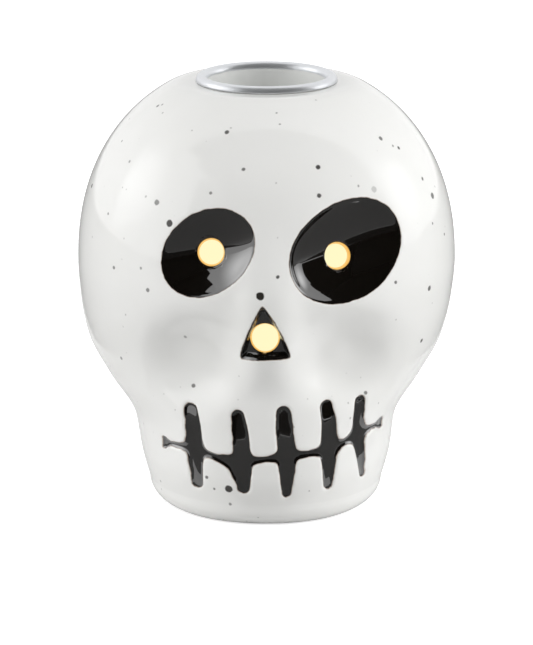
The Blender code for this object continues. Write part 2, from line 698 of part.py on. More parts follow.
def screw(name, place, length, head_height, metal):
    head, shank = SCREW_HEAD_WIDTH / 2, SCREW_SHANK_WIDTH / 2
    profile = (
        (0.0, UNIT_INSET),
        (head - GAP, UNIT_INSET),
        (head, UNIT_INSET + head_height / 3),
        (head, UNIT_INSET + head_height),
        (shank, UNIT_INSET + head_height),
        (shank, UNIT_INSET + length - 2 * shank),
        (0.0, UNIT_INSET + length),
    )
    piece = add_piece(name, revolved(profile, SCREW_SEGMENTS, place), metal)
    depth = head_height / 2
    slot_length = SCREW_HEAD_WIDTH * SLOT_SHARE
    for turn, sizes in enumerate(((slot_length, SCREW_SLOT), (SCREW_SLOT, slot_length))):
        slot = block(*sizes, UNIT_INSET - depth, UNIT_INSET + depth, place)
        combine(piece, add_cutter(f"{name}_slot_{turn}", slot, metal))
    return piece


def coin_cell(metal):
    wide, narrow = CELL_WIDTH / 2, CELL_CAP_WIDTH / 2
    profile = (
        (0.0, CELL_BOTTOM),
        (narrow, CELL_BOTTOM),
        (narrow, CELL_BOTTOM + CELL_CAP_HEIGHT),
        (wide, CELL_BOTTOM + CELL_CAP_HEIGHT),
        (wide, CELL_BOTTOM + CELL_THICKNESS),
        (0.0, CELL_BOTTOM + CELL_THICKNESS),
    )
    return add_piece("coin_cell", revolved(profile, ROUND_SEGMENTS, CELL_PLACE), metal)


def contact(name, bottom, metal):
    strip = block(CONTACT_LENGTH, CONTACT_WIDTH, bottom, bottom + CONTACT_THICKNESS, CELL_PLACE)
    return add_piece(name, strip, metal)


def circuit_board(laminate):
    board = add_piece("circuit_board", turned_disc(PLATE_RADIUS, BOARD_BOTTOM, BOARD_TOP), laminate)
    for side, place in PLATE_SCREW_PLACES.items():
        notch = turned_disc(POST_RADIUS + GAP, BOARD_BOTTOM - GAP, BOARD_TOP + GAP, SMALL_SEGMENTS, place)
        combine(board, add_cutter(f"{side}_board_notch", notch, laminate))
    return board


def led_lamp(lens):
    radius = LAMP_WIDTH / 2
    bottom = BOARD_TOP + GAP
    shoulder = bottom + LAMP_HEIGHT - radius
    dome = [(radius * cos(pi / 2 * i / 5), shoulder + radius * sin(pi / 2 * i / 5)) for i in range(5)]
    rim = radius + LAMP_RIM
    profile = (
        [(0.0, bottom), (rim, bottom), (rim, bottom + LAMP_RIM_HEIGHT), (radius, bottom + LAMP_RIM_HEIGHT)]
        + dome
        + [(0.0, bottom + LAMP_HEIGHT)]
    )
    return add_piece("led_lamp", revolved(profile, SMALL_SEGMENTS), lens)


def resistor(ceramic):
    width, depth, height = RESISTOR_SIZE
    bottom = BOARD_TOP + GAP
    return add_piece("resistor", block(width, depth, bottom, bottom + height, RESISTOR_PLACE), ceramic)


def switch_body(metal):
    width, depth, _ = SWITCH_BODY_SIZE
    run = SWITCH_PLACE + Vector((SWITCH_TRAVEL / 2, 0.0))
    body = add_piece("switch_body", block(width, depth, SWITCH_BOTTOM, SWITCH_TOP, run), metal)
    slot_width = STEM_SIZE[0] + SWITCH_TRAVEL + 2 * GAP
    pocket = block(
        slot_width,
        STEM_SIZE[1] + 2 * GAP,
        SWITCH_BOTTOM - GAP,
        SWITCH_BOTTOM + STEM_REACH + GAP,
        run,
    )
    combine(body, add_cutter("stem_pocket_cutter", pocket, metal))
    return body


def switch_slider(plastic):
    # The knob lies in the plate's pocket and its stem reaches up into the switch.
    knob_top = UNIT_INSET + KNOB_SIZE[2]
    slider = add_piece("switch_slider", block(*KNOB_SIZE[:2], UNIT_INSET, knob_top, SWITCH_PLACE), plastic)
    stem = block(*STEM_SIZE, knob_top - RIDGE_HEIGHT, SWITCH_BOTTOM + STEM_REACH, SWITCH_PLACE)
    combine(slider, add_cutter("switch_stem", stem, plastic), "UNION")
    for i in range(KNOB_RIDGES):
        groove_x = KNOB_SIZE[0] * ((i + 0.5) / KNOB_RIDGES - 0.5)
        groove = block(
            KNOB_SIZE[0] / KNOB_RIDGES / 2,
            2 * KNOB_SIZE[1],
            UNIT_INSET - RIDGE_HEIGHT,
            UNIT_INSET + RIDGE_HEIGHT,
            SWITCH_PLACE + Vector((groove_x, 0.0)),
        )
        combine(slider, add_cutter(f"knob_groove_{i}", groove, plastic))
    return slider


def main():
    clear_scene()
    white_glaze = make_material("white glaze", (0.82, 0.82, 0.80), 0.12, coat=0.5)
    black_glaze = make_material("black glaze", (0.006, 0.005, 0.004), 0.08, coat=0.5)
    bare_clay = make_material("bare clay", (0.75, 0.73, 0.68), 0.7)
    aluminium = make_material("polished aluminium", (0.80, 0.80, 0.81), 0.16, metallic=1.0)
    steel = make_material("plated steel", (0.62, 0.62, 0.62), 0.3, metallic=1.0)
    white_plastic = make_material("white plastic", (0.80, 0.80, 0.78), 0.45)
    black_plastic = make_material("black plastic", (0.02, 0.02, 0.02), 0.5)
    green_laminate = make_material("green laminate", (0.03, 0.16, 0.07), 0.4)
    warm_lens = make_material("warm lamp lens", (0.95, 0.80, 0.45), 0.2)

    skull_shell(white_glaze, black_glaze, bare_clay)
    candle_cup(aluminium)
    led_housing(white_plastic)
    base_plate(white_plastic)
    battery_door(white_plastic)
    screw("door_screw", DOOR_SCREW_PLACE, PLATE_THICKNESS, DOOR_THICKNESS / 2, steel)
    for side, place in PLATE_SCREW_PLACES.items():
        screw(f"plate_screw_{side}", place, SCREW_LENGTH, SCREW_HEAD_HEIGHT, steel)
    coin_cell(steel)
    contact("cell_contact_lower", LOWER_CONTACT_BOTTOM, steel)
    contact("cell_contact_upper", UPPER_CONTACT_BOTTOM, steel)
    circuit_board(green_laminate)
    led_lamp(warm_lens)
    resistor(black_plastic)
    switch_body(steel)
    switch_slider(black_plastic)


main()
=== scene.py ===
from math import asin, cos, pi, radians, sin, sqrt

import bmesh
import bpy
import numpy as np
from mathutils import Matrix, Vector


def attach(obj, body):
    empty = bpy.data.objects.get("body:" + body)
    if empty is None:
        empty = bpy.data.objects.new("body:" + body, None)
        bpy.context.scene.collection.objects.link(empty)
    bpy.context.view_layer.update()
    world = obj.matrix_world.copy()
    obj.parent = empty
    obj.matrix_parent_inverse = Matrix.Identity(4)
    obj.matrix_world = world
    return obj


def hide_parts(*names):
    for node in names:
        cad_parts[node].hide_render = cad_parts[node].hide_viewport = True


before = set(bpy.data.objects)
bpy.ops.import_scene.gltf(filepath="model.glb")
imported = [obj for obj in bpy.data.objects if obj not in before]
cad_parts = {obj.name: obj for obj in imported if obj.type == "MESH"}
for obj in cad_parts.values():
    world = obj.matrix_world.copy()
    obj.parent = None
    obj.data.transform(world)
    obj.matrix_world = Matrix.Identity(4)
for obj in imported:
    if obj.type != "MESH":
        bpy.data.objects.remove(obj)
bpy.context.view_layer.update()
print("frame loaded:", len(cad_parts), "nodes")

mm = 0.001  # all sizes below are in millimetres, and meshes are in metres


def fromHex(code):
    # sRGB hex to the linear colour that a shader takes
    parts = [int(code[i:i + 2], 16) / 255 for i in (1, 3, 5)]
    linear = [p / 12.92 if p <= 0.04045 else ((p + 0.055) / 1.055) ** 2.4 for p in parts]
    return (*linear, 1.0)


def addNode(material, kind, inputs=None, **settings):
    # a node with its settings, whose inputs take either a value or another node's output
    tree = material.node_tree
    node = tree.nodes.new(kind)
    for name, value in settings.items():
        setattr(node, name, value)
    for socket, value in (inputs or {}).items():
        if isinstance(value, bpy.types.NodeSocket):
            tree.links.new(value, node.inputs[socket])
        else:
            node.inputs[socket].default_value = value
    return node


def newMaterial(name, **values):
    # a material whose shader sockets get these values, with an underscore for each space in a socket's name
    material = bpy.data.materials.new(name)
    material.use_nodes = True
    shader = material.node_tree.nodes["Principled BSDF"]
    for socket, value in values.items():
        shader.inputs[socket.replace("_", " ")].default_value = value
    return material, shader


# The same rings and soft forms as the solid, on a mesh fine enough for the edges of the glaze
skull = {
    # height, half width, reach to the front, reach to the back, squareness, sideways lean, from the foot up
    "rings": (
        (4.2, 22.0, 30.1, 24.0, 2.15, -0.2),
        (10.0, 23.5, 31.5, 26.2, 2.25, -0.2),
        (16.5, 24.7, 31.5, 28.5, 2.2, -0.3),
        (24.3, 29.7, 31.3, 31.4, 2.1, -0.4),
        (31.0, 33.4, 32.8, 33.6, 2.0, -0.3),
        (38.5, 35.1, 34.8, 36.0, 2.0, -0.1),
        (45.5, 35.7, 35.9, 37.0, 2.0, 0.0),
    ),
    "domeRise": 37.45,
    "domeFullness": 2.2,
    "crownHeight": 79.3,
    "crownSoftness": 0.35,
    "wall": 3.5,
    "floor": 4.5,
    # soft forms of the face: sideways place, height, half width, half height, lift
    "faceForms": (
        (-13.4, 32.0, 8.8, 7.8, -3.6),  # cheek hollows
        (15.0, 32.3, 8.8, 7.8, -4.1),
        (-11.3, 53.0, 15.0, 13.0, -0.9),  # flats round the eyes
        (15.0, 52.6, 17.0, 14.5, -1.0),
        (0.4, 41.0, 5.6, 12.0, 1.8),  # ridge of the nose
        (0.8, 29.5, 9.5, 9.5, 0.9),  # upper lip
        (1.2, 10.0, 19.0, 13.0, 1.8),  # chin
    ),
    "formSharpness": 1.6,  # 1 is a bell, and more has a flatter middle
    "formFade": 2.5,  # how fast the forms end towards the sides
    "crownHole": 11.85,
    "baseOpening": 15.4,
    "baseRecess": 16.8,
    "recessDepth": 1.8,
    "edgeRound": 0.35,
    "crownLand": 2.4,  # flat ring round the crown's hole, under the cup's lip
    "columns": 360,
    "faceCrowding": 0.45,  # how much closer the columns lie on the face than on the back
    "ringStep": 0.34,
    "footRings": 9,
    "domeCoarseFrom": 66.0,  # above the eyes no glaze edge needs fine rings
    "domeRings": 24,
    "innerRings": 34,
}

# Bowls of the eyes: round above 0 is a part of a ball, and below 0 nearer to a cone
sockets = {
    "left": {
        "x": -11.3, "z": 53.0, "long": 9.6, "short": 7.2, "turn": 41, "depth": 3.9, "round": -0.8, "egg": 0.0,
    },
    "right": {
        "x": 15.0, "z": 52.6, "long": 10.9, "short": 9.1, "turn": 29, "depth": 4.2, "round": 0.6, "egg": 0.06,
    },
}
socketEdge = {"roundness": 0.14, "glazeOverlap": 0.1, "bigEndTurn": 10, "reach": 1.4}

# A sunk triangle, whose sides bow out by the bulges
nose = {
    "corners": ((-5.0, 32.8), (4.55, 33.2), (-0.8, 43.9)),
    "bulges": (-0.25, 0.6, 0.45),
    "cornerRound": 0.7,
    "depth": 1.7,
    "slopeWidth": 0.7,
    "edgeRound": 0.2,
    "glazeInset": 0.1,
}

# Drilled from the front and slightly above, with a glazed lip and a bore that narrows inwards by the draft
lightHoles = {
    "left": {"x": -10.3, "z": 52.4, "width": 5.2, "lip": 0.4, "draft": 0.35, "sideways": 0, "up": 12},
    "right": {"x": 13.2, "z": 51.4, "width": 5.1, "lip": 0.5, "draft": 0.35, "sideways": 2, "up": 12},
    "nose": {"x": -0.3, "z": 37.3, "width": 5.6, "lip": 0.1, "draft": 0.9, "sideways": 0, "up": 12},
}

# Brush strokes in the mouth, each a row of points with a sideways place, a height and a width
mouth = {
    "strokes": (
        ((-14.3, 22.0, 2.3), (-13.9, 19.1, 2.7), (-13.6, 15.8, 2.8), (-13.4, 12.0, 2.4), (-13.0, 8.1, 1.8)),
        ((-5.4, 21.6, 2.3), (-4.9, 18.2, 2.9), (-4.6, 14.3, 2.9), (-4.4, 10.8, 2.8), (-4.3, 8.1, 2.2)),
        ((3.2, 22.3, 2.6), (3.4, 19.2, 3.1), (3.8, 15.4, 2.9), (3.9, 11.3, 2.8), (3.8, 7.0, 1.5)),
        ((11.3, 22.9, 2.1), (11.8, 19.9, 2.5), (11.9, 15.5, 2.8), (11.8, 11.2, 2.2), (11.6, 7.9, 1.4)),
        ((17.7, 23.0, 1.7), (17.4, 19.7, 1.8), (17.4, 16.3, 2.0), (17.9, 12.0, 1.3), (18.1, 8.2, 0.6)),
        ((-8.2, 13.2, 0.6), (-6.8, 12.4, 1.2), (-5.4, 11.2, 2.2)),
    ),
    "line": (
        (-18.9, 14.5, 0.6), (-17.5, 14.6, 0.7), (-13.6, 14.7, 1.1), (-9.1, 13.5, 0.8), (-4.5, 13.2, 1.4),
        (-0.6, 13.6, 0.8), (3.8, 14.2, 1.4), (7.6, 14.4, 0.9), (11.8, 14.8, 1.4), (14.9, 15.7, 0.9),
        (17.4, 16.6, 1.4), (19.9, 17.0, 0.6), (21.0, 17.1, 0.6),
    ),
    "tails": (
        ((-18.4, 14.55, 0.7), (-19.35, 15.2, 0.4), (-19.3, 13.5, 0.4), (-18.4, 14.55, 0.7)),
        ((20.8, 17.1, 0.7), (21.7, 17.9, 0.4), (21.6, 16.3, 0.4), (20.8, 17.1, 0.7)),
    ),
    "depth": 0.45,
    "wallWidth": 0.55,
    "fillet": 1.2,
    "spread": 0.12,  # how far the glaze crept past the brush
}

farAway = 50.0  # millimetres, past anything on the object


def ringSlopes(heights, values):
    # slopes of a smooth curve through the rings that never swings past them, and stands upright at the widest
    steps = np.diff(values) / np.diff(heights)
    before, after = steps[:-1], steps[1:]
    both = np.where(before + after == 0, 1, before + after)
    inner = np.where(before * after > 0, 2 * before * after / both, 0)
    return np.concatenate([steps[:1], inner, [0.0]])


ringTable = np.array(skull["rings"]).T
ringHeights = ringTable[0]
ringCurves = [(values, ringSlopes(ringHeights, values)) for values in ringTable[1:]]
footRound, browHeight = ringHeights[0], ringHeights[-1]


def ringAt(height):
    # half width, reaches, squareness and lean at any height
    height = np.clip(height, footRound, browHeight)
    i = np.clip(np.searchsorted(ringHeights, height, side="right") - 1, 0, len(ringHeights) - 2)
    span = ringHeights[i + 1] - ringHeights[i]
    t = (height - ringHeights[i]) / span
    return [
        (1 + 2 * t) * (1 - t) ** 2 * values[i] + t * (1 - t) ** 2 * span * slopes[i]
        + t * t * (3 - 2 * t) * values[i + 1] + t * t * (t - 1) * span * slopes[i + 1]
        for values, slopes in ringCurves
    ]


def skullPoints(height, angle):
    # angle 0 is the middle of the face, a right angle the viewer's right. Millimetres.
    halfWidth, front, back, squareness, lean = ringAt(height)
    rise = np.clip((height - browHeight) / skull["domeRise"], 0, 1)
    share = (1 - rise ** skull["domeFullness"]) ** (1 / skull["domeFullness"])
    below = np.clip(footRound - height, 0, footRound)
    inset = footRound - np.sqrt(footRound ** 2 - below ** 2)
    reach = np.where(np.cos(angle) > 0, front, back)
    across, along = np.abs(np.sin(angle)) / halfWidth, np.abs(np.cos(angle)) / reach
    radius = share * (across ** squareness + along ** squareness) ** (-1 / squareness) - inset
    x, y = radius * np.sin(angle), -radius * np.cos(angle)
    lift = np.zeros_like(x)
    for place, level, halfWide, halfHigh, amount in skull["faceForms"]:
        away = ((x - place) / halfWide) ** 2 + ((height - level) / halfHigh) ** 2
        lift += amount * np.exp(-away ** skull["formSharpness"])
    lift *= np.clip(skull["formFade"] * np.cos(angle), 0, 1)
    soft = skull["crownSoftness"]
    crowned = -soft * np.log(np.exp(-height / soft) + np.exp(-skull["crownHeight"] / soft))
    flattened = np.where(height > browHeight, crowned, height)
    return np.stack([x + lift * np.sin(angle) + lean, y - lift * np.cos(angle), flattened], axis=-1)


def skullNormals(height, angle):
    step, turn = 0.2, 0.01  # millimetres up and down, radians to both sides
    upward = skullPoints(height + step, angle) - skullPoints(np.maximum(height - step, 0), angle)
    sideways = skullPoints(height, angle + turn) - skullPoints(height, angle - turn)
    normals = np.cross(sideways, upward)
    return normals / np.linalg.norm(normals, axis=-1, keepdims=True)


def facePoint(x, z):
    # the smooth face's point and normal at a sideways place and a height
    angles = np.linspace(-pi / 2, pi / 2, 721)
    points = skullPoints(np.full_like(angles, z), angles)
    angle = np.array([np.interp(x, points[:, 0], angles)])
    height = np.array([float(z)])
    return skullPoints(height, angle)[0], skullNormals(height, angle)[0]


def softMin(a, b, roundness):
    # the lesser of two values, with the corner between them rounded
    return -roundness * np.logaddexp(-a / roundness, -b / roundness)


def socketAxes(socket):
    # the face's point, its normal, and the socket's two half axes laid on the face
    point, normal = facePoint(socket["x"], socket["z"])
    turn = radians(socket["turn"])
    axes = []
    for length, dx, dz in (
        (socket["long"], cos(turn), sin(turn)),
        (socket["short"], -sin(turn), cos(turn)),
    ):
        axes.append(length * np.array([dx, -(normal[0] * dx + normal[2] * dz) / normal[1], dz]))
    return point, normal, axes


def socketShare(points, socket, grow=0.0):
    # 0 in the socket's middle and 1 on its ellipse, and the height over the plane of that ellipse
    point, normal, axes = socketAxes(socket)
    axes = [axis * (1 + grow / np.linalg.norm(axis)) for axis in axes]
    places = np.linalg.solve(np.stack([*axes, normal], axis=1), (points - point).T)
    long, short = places[0], places[1]
    reach = np.hypot(long, short)
    bigEnd = socket["egg"] * np.cos(np.arctan2(short, long) - radians(socketEdge["bigEndTurn"]))
    return reach / (1 + bigEnd), places[2], normal


def sinkSockets(points, grow=0.0):
    # every point inside a socket's ellipse moves straight in to a round bowl
    for socket in sockets.values():
        share, level, normal = socketShare(points, socket, grow)
        depth, curve = socket["depth"], socket["round"]
        full = depth / (1 - sqrt(1 - curve))
        bowl = full - depth - full * np.sqrt(np.clip(1 - curve * share ** 2, 0, None)) - grow
        bowl = np.where((share < socketEdge["reach"]) & (points[:, 1] < 0), bowl, farAway)
        sunk = softMin(np.zeros_like(bowl), bowl, socketEdge["roundness"])
        points = points + sunk[:, None] * normal
    return points


def segmentDistance(flat, start, end):
    # distance from flat points to a tapering line between two points that carry a width
    a, b = np.array(start[:2]), np.array(end[:2])
    t = np.clip(((flat - a) @ (b - a)) / ((b - a) @ (b - a)), 0, 1)
    nearest = a + t[:, None] * (b - a)
    return np.linalg.norm(flat - nearest, axis=1) - (start[2] + t * (end[2] - start[2])) / 2


def strokeDistance(flat, line):
    # signed distance to the edge of one stroke
    return np.min([segmentDistance(flat, start, end) for start, end in zip(line, line[1:])], axis=0)


def mouthDistance(flat):
    # signed distance to the edge of the strokes, with fillets where they cross and a sharp tail at both ends
    whole = np.full(len(flat), farAway)
    for line in (*mouth["strokes"], mouth["line"]):
        whole = softMin(whole, strokeDistance(flat, line), mouth["fillet"] / 2)
    for tail in mouth["tails"]:
        whole = np.minimum(whole, strokeDistance(flat, tail))
    return whole - mouth["spread"]


def noseDistance(flat):
    # signed distance to a triangle with round corners and bowed sides
    corners = np.array(nose["corners"])
    inside = np.full(len(flat), -farAway)
    for corner, after, bulge in zip(corners, np.roll(corners, -1, axis=0), nose["bulges"]):
        length = np.linalg.norm(after - corner)
        edge = (after - corner) / length
        outward = np.array([edge[1], -edge[0]])
        along = np.clip((flat - corner) @ edge / length, 0, 1)
        beyond = (flat - corner) @ outward - 4 * bulge * along * (1 - along)
        inside = -softMin(-inside, -beyond, nose["cornerRound"] / 2)
    return inside


def sinkNose(points):
    # the triangle's flat floor, with sloped sides and soft edges
    distance = noseDistance(points[:, [0, 2]])
    wall = np.clip(-distance * nose["depth"] / nose["slopeWidth"], -5, farAway)
    depth = softMin(wall, np.full(len(points), nose["depth"]), nose["edgeRound"])
    depth = -softMin(-depth, np.zeros(len(points)), nose["edgeRound"] / 2)
    depth = np.where((distance < 1.5) & (points[:, 1] < 0), depth, 0)
    middle = np.array(nose["corners"]).mean(axis=0)
    _, normal = facePoint(*middle)
    return points - depth[:, None] * normal


def cutMouth(points, outward):
    # a groove with a rounded wall on both sides of the strokes' edge
    distance = mouthDistance(points[:, [0, 2]])
    t = np.clip(0.5 - distance / mouth["wallWidth"], 0, 1)
    depth = mouth["depth"] * t * t * (3 - 2 * t)
    depth = np.where(points[:, 1] < 0, depth, 0)
    return points - depth[:, None] * outward


glazeReach = 3.0


def glazeDistance(points):
    # signed distance in millimetres to the nearest edge of black glaze, negative inside it
    flat = points[:, [0, 2]]
    whole = np.minimum(mouthDistance(flat), noseDistance(flat) - nose["glazeInset"])
    for socket in sockets.values():
        share, _, _ = socketShare(points, socket)
        size = sqrt(socket["long"] * socket["short"])
        whole = np.minimum(whole, (share - 1) * size - socketEdge["glazeOverlap"])
    return np.clip(whole, -glazeReach, glazeReach)


def skullRings():
    # From the base opening's inner edge, out and up over the skull, and back down the inside of the wall. Each
    # ring has a radius and a height where it is a true circle, or a height alone where it follows the skull.
    # Also returns the first ring with glaze on it, and the first one inside.
    edge = skull["edgeRound"]
    opening, recess, deep = skull["baseOpening"], skull["baseRecess"], skull["recessDepth"]
    rings = [(opening, skull["floor"]), (opening, deep + edge), (opening + edge, deep)]
    rings += [(recess, deep), (recess, edge)]
    rings += [(recess + edge * (1 - cos(a)), edge * (1 - sin(a))) for a in (pi / 6, pi / 3, pi / 2)]
    circles = [("circle", radius, height) for radius, height in rings]
    foot = [("foot", share, 0.0) for share in (0.25, 0.5, 0.75, 1.0)]
    steps = skull["footRings"]
    rounding = [("skull", footRound * (1 - cos(pi / 2 * i / steps)), 0.0) for i in range(1, steps)]
    sideHeights = np.arange(footRound, skull["domeCoarseFrom"], skull["ringStep"])
    side = [("skull", height, 0.0) for height in sideHeights]
    start = asin((skull["domeCoarseFrom"] - browHeight) / skull["domeRise"])
    land = skull["crownLand"]
    topShare = (skull["crownHole"] + land) / ringTable[1][-1]
    top = asin((1 - topShare ** skull["domeFullness"]) ** (1 / skull["domeFullness"]))
    count = skull["domeRings"]
    dome = [
        ("skull", browHeight + skull["domeRise"] * sin(start + (top - start) * i / count), 0.0)
        for i in range(count + 1)
    ]
    hole, crown = skull["crownHole"], skull["crownHeight"]
    lip = [("circle", hole + land / 2, crown), ("circle", hole + edge, crown), ("circle", hole, crown - edge)]
    inner = [("circle", hole, crown - skull["wall"])]
    half = skull["innerRings"] // 2
    innerTop = dome[-3][1]
    upper = browHeight + (innerTop - browHeight) * np.sin(np.linspace(pi / 2, 0, half))
    lower = np.linspace(browHeight, skull["floor"] + 0.2, half + 1)[1:]
    inner += [("inside", height, 0.0) for height in (*upper, *lower)]
    bare = circles + foot
    outer = bare + rounding + side + dome + lip
    return outer + inner, len(bare), len(outer)


def skullMesh():
    # a ball with as many rows as the skull has rings, whose vertices then move to their rings
    rings, firstGlazed, firstInner = skullRings()
    columns = skull["columns"]
    bm = bmesh.new()
    bmesh.ops.create_uvsphere(bm, u_segments=columns, v_segments=len(rings) + 1, radius=1.0)
    poles = [vert for vert in bm.verts if abs(vert.co.z) > 0.9999999 and vert.co.xy.length < 1e-6]
    bmesh.ops.delete(bm, geom=poles, context="VERTS")
    bm.verts.ensure_lookup_table()
    unit = np.array([vert.co for vert in bm.verts], dtype=float)
    fromFoot = 1 - np.arccos(np.clip(unit[:, 2], -1, 1)) / pi
    ringOf = np.rint(fromFoot * (len(rings) + 1)).astype(int) - 1
    turn = np.arctan2(unit[:, 0], -unit[:, 1])
    angle = turn - skull["faceCrowding"] * np.sin(turn)
    kinds = np.array([ring[0] for ring in rings])[ringOf]
    first = np.array([float(ring[1]) for ring in rings])[ringOf]
    second = np.array([float(ring[2]) for ring in rings])[ringOf]

    circle = kinds == "circle"
    height = np.where(np.isin(kinds, ("skull", "inside")), first, 0.0)
    height = np.where(circle & (second > browHeight), browHeight + 1, height)
    points = skullPoints(height, angle)
    normals = skullNormals(np.maximum(height, 0.0), angle)

    outside = kinds == "skull"
    face = outside & (np.cos(angle) > 0)
    shaped = sinkNose(sinkSockets(points[face]))
    shaped = cutMouth(shaped, normals[face])
    glaze = np.full(len(points), glazeReach)
    glaze[face] = glazeDistance(points[face])
    points[face] = shaped

    inside = kinds == "inside"
    points[inside] -= skull["wall"] * normals[inside]
    backed = inside & (np.cos(angle) > 0)
    points[backed] = sinkSockets(points[backed], skull["wall"])
    points[inside, 2] = np.maximum(points[inside, 2], skull["floor"])

    outward = np.stack([np.sin(angle), -np.cos(angle)], axis=1)
    points[circle, :2] = first[circle, None] * outward[circle]
    points[circle, 2] = second[circle]
    foot = kinds == "foot"
    edge = skullPoints(np.zeros(foot.sum()), angle[foot])
    ring = (skull["baseRecess"] + skull["edgeRound"]) * outward[foot]
    points[foot, :2] = ring + first[foot, None] * (edge[:, :2] - ring)
    points[foot, 2] = 0.0

    for vert, place in zip(bm.verts, points * mm):
        vert.co = place
    layer = bm.verts.layers.float.new("glazeEdge")
    for vert, value in zip(bm.verts, glaze):
        vert[layer] = value
    for polygon in bm.faces:
        polygon.smooth = True
        lowest = min(ringOf[v.index] for v in polygon.verts)
        # inner faces take the clay with a painted lamp glow, the foot faces bare clay, the rest glaze
        polygon.material_index = 1 if lowest >= firstInner - 1 else 3 if lowest < firstGlazed - 1 else 0
    bmesh.ops.bridge_loops(bm, edges=[edge for edge in bm.edges if edge.is_boundary])
    bmesh.ops.recalc_face_normals(bm, faces=bm.faces)
    return bm


def newPiece(name, bm, materials):
    # an object at the origin from a bmesh that has its place in its vertices
    mesh = bpy.data.meshes.new(name)
    bm.to_mesh(mesh)
    bm.free()
    for material in materials:
        mesh.materials.append(material)
    piece = bpy.data.objects.new(name, mesh)
    bpy.context.scene.collection.objects.link(piece)
    return piece


def spun(profile, steps):
    # a profile of (radius, height) in millimetres turned round the upright axis
    bm = bmesh.new()
    verts = [bm.verts.new((radius * mm, 0, height * mm)) for radius, height in profile]
    edges = [bm.edges.new(pair) for pair in zip(verts, verts[1:])]
    if profile[0][0] > 0 and profile[-1][0] > 0:
        edges.append(bm.edges.new((verts[-1], verts[0])))
    bmesh.ops.spin(
        bm, geom=verts + edges, cent=(0, 0, 0), axis=(0, 0, 1), angle=2 * pi, steps=steps, use_merge=True
    )
    bmesh.ops.remove_doubles(bm, verts=bm.verts, dist=1e-7)
    bmesh.ops.recalc_face_normals(bm, faces=bm.faces)
    for polygon in bm.faces:
        polygon.smooth = True
    return bm


def glazedPoint(x, z):
    # the sunk surface's point at a sideways place and a height, and its normal there
    def sunk(placeX, placeZ):
        point, _ = facePoint(placeX, placeZ)
        return sinkNose(sinkSockets(point[None]))[0]

    placeX, placeZ = x, z
    for _ in range(8):  # sinking moves the point, so its start is corrected until it lands on x and z
        point = sunk(placeX, placeZ)
        placeX, placeZ = placeX + x - point[0], placeZ + z - point[2]
    step = 0.4
    sideways = sunk(placeX + step, placeZ) - sunk(placeX - step, placeZ)
    upward = sunk(placeX, placeZ + step) - sunk(placeX, placeZ - step)
    normal = np.cross(sideways, upward)
    return Vector(point), Vector(normal).normalized()


def lightHoleCutters(name):
    # a shallow dish whose rounded edge becomes the glazed lip, and a rod that narrows inwards for the bore
    hole = lightHoles[name]
    radius, lip = hole["width"] / 2, hole["lip"]
    point, normal = glazedPoint(hole["x"], hole["z"])
    rise = 0.0
    if name in sockets:  # a bowl's floor comes up round the hole
        socket = sockets[name]
        reach = radius + lip / 2
        rise = 0.42 * socket["depth"] * ((reach / socket["long"]) ** 2 + (reach / socket["short"]) ** 2)
    above, deep, steps = 0.9, 2.5 * skull["wall"], 72
    edge = [(radius + lip * (1 - cos(a)), rise - lip * (1 - sin(a))) for a in np.linspace(0, pi / 2, 6)]
    dish = spun([(0, rise - lip)] + edge + [(radius + 2 * lip, rise + above), (0, rise + above)], steps)
    bore = [(0, -deep), (radius - hole["draft"], -deep), (radius, rise - lip)]
    rod = spun(bore + [(radius, above), (0, above)], steps)
    up, sideways = radians(hole["up"]), radians(hole["sideways"])
    light = Vector((sin(sideways) * cos(up), -cos(sideways) * cos(up), sin(up)))
    for bm, axis, material in ((dish, normal, 0), (rod, light, 2)):
        layer = bm.verts.layers.float.new("glazeEdge")
        for vert in bm.verts:
            vert[layer] = -1.0
        for polygon in bm.faces:  # what the rod cuts above the bore is glazed
            inBore = polygon.calc_center_median().z < (rise - lip) * mm
            # the bore takes the clay with a painted orange glow
            polygon.material_index = material if inBore else 0
        place = Matrix.Translation(point * mm) @ axis.to_track_quat("Z", "Y").to_matrix().to_4x4()
        bmesh.ops.transform(bm, matrix=place, verts=bm.verts)
    return dish, rod


def buildSkull(materials):
    shell = newPiece("glazed_skull", skullMesh(), materials)
    for bm in [cutter for name in lightHoles for cutter in lightHoleCutters(name)]:
        cutter = newPiece("cutter", bm, materials)
        modifier = shell.modifiers.new("hole", "BOOLEAN")
        modifier.object = cutter
        modifier.solver = "MANIFOLD"
        bpy.context.view_layer.update()
        evaluated = shell.evaluated_get(bpy.context.evaluated_depsgraph_get())
        cut = bpy.data.meshes.new_from_object(evaluated)
        shell.modifiers.clear()
        shell.data = cut
        bpy.data.objects.remove(cutter)
    print("skull:", len(shell.data.polygons), "faces")
    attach(shell, "holder")
    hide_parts("skull_shell")


